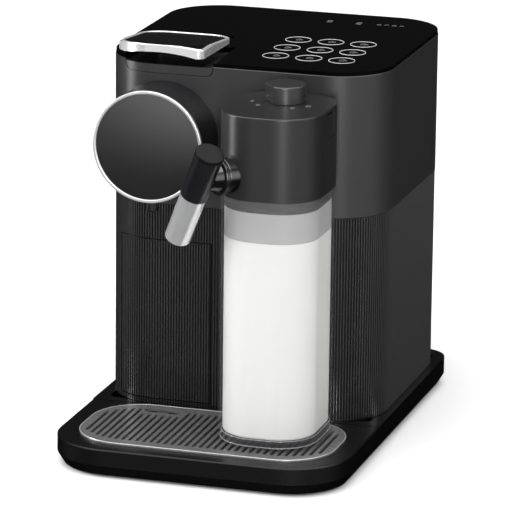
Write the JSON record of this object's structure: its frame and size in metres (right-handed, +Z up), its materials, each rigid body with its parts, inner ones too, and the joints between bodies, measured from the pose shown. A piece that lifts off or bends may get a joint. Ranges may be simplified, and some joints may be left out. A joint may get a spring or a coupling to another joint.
{
  "type": "pod coffee machine",
  "caption": "Compact pod coffee machine with a lever-opened capsule slot, round coffee head, docked clear milk jug with a swinging spout, drip tray and rear water tank.",
  "frame": {"origin": "on the surface it stands on, under the middle of its bounding box", "axes": "+X to the right seen from the front, +Y to the back, +Z up"},
  "size_m": [0.203, 0.367, 0.2697],
  "materials": {
    "base_black": "satin",
    "foot_rubber": "matte",
    "fixing_steel": "satin",
    "grid_steel": "satin",
    "float_grey": "satin",
    "shell_ribbed": "satin",
    "hood_grey": "satin",
    "panel_black": "gloss",
    "well_grey": "satin",
    "rack_black": "satin",
    "lever_black": "gloss",
    "bright_chrome": "polished",
    "head_black": "satin",
    "disc_satin": "satin",
    "outlet_grey": "satin",
    "frame_plastic": "matte",
    "piston_white": "satin",
    "pump_brass": "satin",
    "hose_clear": "satin",
    "heater_metal": "cast",
    "nozzle_steel": "satin",
    "board_green": "satin",
    "inlet_black": "matte",
    "tank_smoke": "clear",
    "tank_lid_black": "satin",
    "valve_white": "satin",
    "jug_clear": "clear",
    "lid_black": "satin",
    "seal_grey": "matte",
    "tube_white": "satin",
    "knob_black": "satin",
    "spout_black": "gloss"
  },
  "bodies": {
    "machine": {"base_plate": "base_black", "base_screws": "fixing_steel", "brew_cage": "frame_plastic", "brew_frame": "frame_plastic", "capsule_chute": "well_grey", "coffee_head": "head_black", "coffee_outlet": "outlet_grey", "control_board": "board_green", "disc_face": "disc_satin", "disc_ring": "bright_chrome", "flow_meter": "piston_white", "front_insert": "well_grey", "heater": "heater_metal", "hood": "hood_grey", "inner_frame": "frame_plastic", "lever_pin": "fixing_steel", "lower_shell": "shell_ribbed", "power_inlet": "inlet_black", "pressure_pipe": "hose_clear", "pump": "pump_brass", "pump_hose": "hose_clear", "pump_mounts": "foot_rubber", "rear_cover": "shell_ribbed", "rubber_feet": "foot_rubber", "steam_nozzle": "nozzle_steel", "steam_pipe": "hose_clear", "supply_hose": "hose_clear", "tank_coupling": "base_black", "top_panel": "panel_black", "touch_board": "board_green"},
    "lever": {"capsule_lever": "lever_black", "lever_trim": "bright_chrome"},
    "piston": {"brew_piston": "piston_white"},
    "tray": {"drip_tray": "base_black", "drip_grid": "grid_steel"},
    "float": {"tray_float": "float_grey"},
    "bin": {"capsule_bin": "shell_ribbed", "capsule_rack": "rack_black"},
    "jug": {"jug_container": "jug_clear"},
    "jug_lid": {"jug_lid": "lid_black", "lid_seal": "seal_grey", "suction_tube": "tube_white", "spout_collar": "bright_chrome", "spout_ring": "spout_black"},
    "knob": {"froth_knob": "knob_black"},
    "spout": {"spout_knuckle": "bright_chrome", "spout_barrel": "spout_black", "spout_pipe": "bright_chrome", "spout_cap": "spout_black"},
    "button_left": {"release_button_left": "lid_black"},
    "button_right": {"release_button_right": "lid_black"},
    "tank": {"water_tank": "tank_smoke", "tank_lid_pin": "fixing_steel", "tank_valve": "valve_white"},
    "tank_lid": {"tank_lid": "tank_lid_black"}
  },
  "joints": [
    {"name": "lever_hinge", "type": "hinge", "parent": "machine", "child": "lever", "pos_m": [-0.0572, 0.0075, 0.2565], "axis": [-1, 0, 0], "range_deg": [0, 95]},
    {"name": "piston_slide", "type": "slide", "parent": "machine", "child": "piston", "axis": [0, 1, 0], "range_m": [0, 0.034]},
    {"name": "tray_slide", "type": "slide", "parent": "machine", "child": "tray", "axis": [0, -1, 0], "range_m": [0, 0.105]},
    {"name": "float_rise", "type": "slide", "parent": "tray", "child": "float", "axis": [0, 0, 1], "range_m": [0, 0.005]},
    {"name": "bin_slide", "type": "slide", "parent": "machine", "child": "bin", "axis": [0, -1, 0], "range_m": [0, 0.09]},
    {"name": "jug_slide", "type": "slide", "parent": "machine", "child": "jug", "axis": [0, -1, 0], "range_m": [0, 0.11]},
    {"name": "lid_lift", "type": "slide", "parent": "jug", "child": "jug_lid", "axis": [0, 0, 1], "range_m": [0, 0.16]},
    {"name": "knob_turn", "type": "hinge", "parent": "jug_lid", "child": "knob", "pos_m": [0.041, -0.103, 0.252], "axis": [0, 0, 1], "range_deg": [0, 110]},
    {"name": "spout_pivot", "type": "hinge", "parent": "jug_lid", "child": "spout", "pos_m": [0.01668, -0.15083, 0.205], "axis": [-0.6428, -0.766, 0], "range_deg": [-29, 61]},
    {"name": "button_left_press", "type": "slide", "parent": "jug_lid", "child": "button_left", "axis": [1, 0, 0], "range_m": [0, 0.002], "stiffness_N_per_m": 400},
    {"name": "button_right_press", "type": "slide", "parent": "jug_lid", "child": "button_right", "axis": [-1, 0, 0], "range_m": [0, 0.002], "stiffness_N_per_m": 400},
    {"name": "tank_lift", "type": "slide", "parent": "machine", "child": "tank", "axis": [0, 0, 1], "range_m": [0, 0.05]},
    {"name": "tank_lid_hinge", "type": "hinge", "parent": "tank", "child": "tank_lid", "pos_m": [0, 0.1795, 0.1854], "axis": [-1, 0, 0], "range_deg": [0, 80]}
  ],
  "couplings": [
    {"joint": "piston_slide", "follows": "lever_hinge", "m_per_rad": 0.0205}
  ]
}
